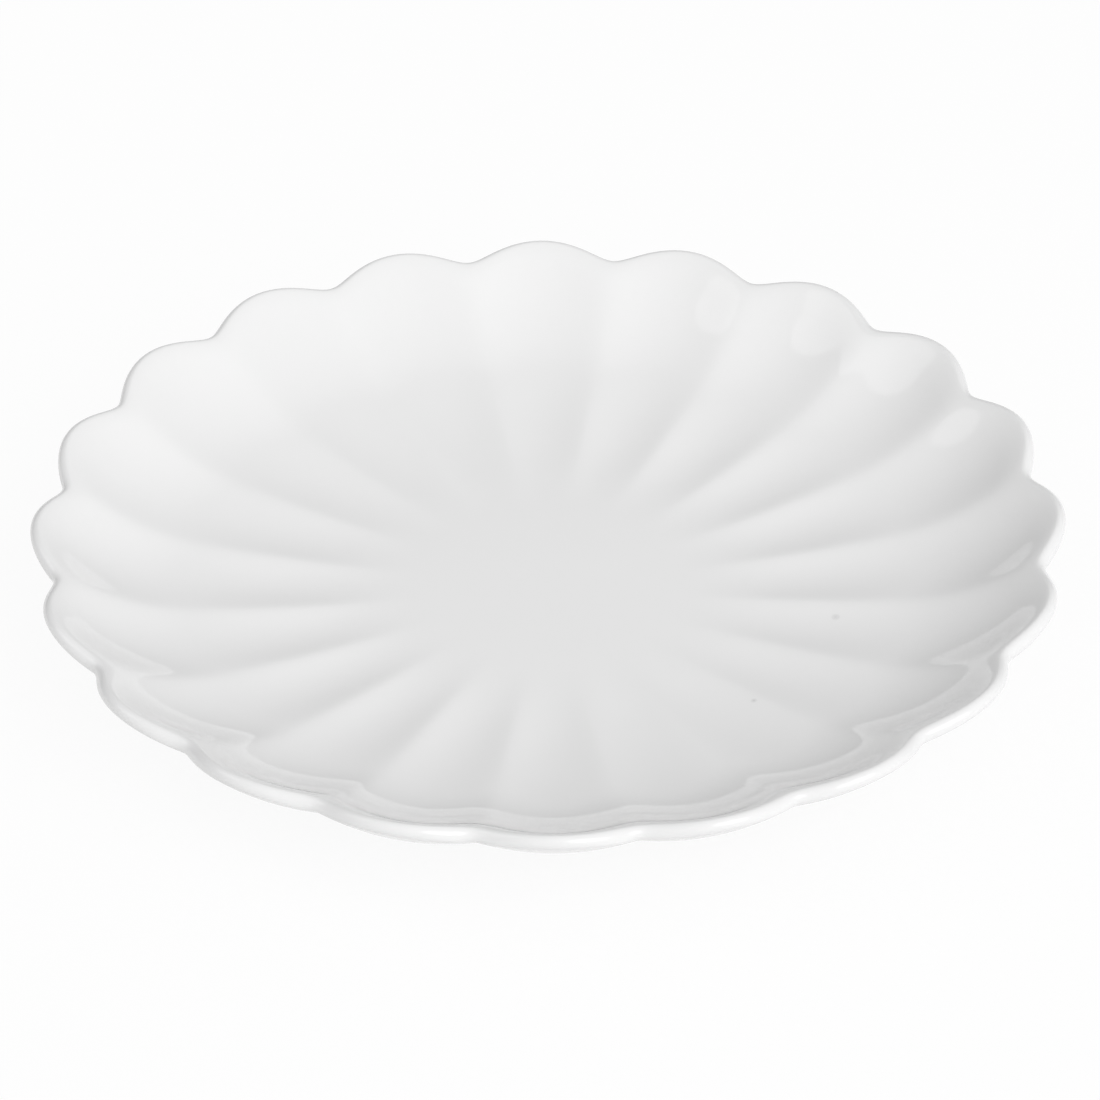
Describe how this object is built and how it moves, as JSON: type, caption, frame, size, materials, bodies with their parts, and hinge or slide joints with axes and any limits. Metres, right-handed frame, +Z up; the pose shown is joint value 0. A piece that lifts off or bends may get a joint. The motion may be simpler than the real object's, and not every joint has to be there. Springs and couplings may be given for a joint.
{
  "type": "scalloped dessert plate",
  "caption": "Shallow round dessert plate with a scalloped rim: petal-shaped flutes fan out from a flat well to a rounded, wavy lip, over a low foot ring.",
  "frame": {"origin": "middle of the foot ring's tread, on the surface that the plate stands on", "axes": "+Z up out of the dish; +X through the tip of a petal, and a petal's tip also lies on +Y, -X and -Y"},
  "size_m": [0.21, 0.21, 0.0248],
  "materials": {
    "white_glaze": "glossy clear glaze over white porcelain",
    "bare_porcelain": "matt, unglazed, on the foot's tread"
  },
  "bodies": {
    "root": {"fluted_dish": "white_glaze", "foot_ring": "white_glaze"}
  },
  "joints": []
}
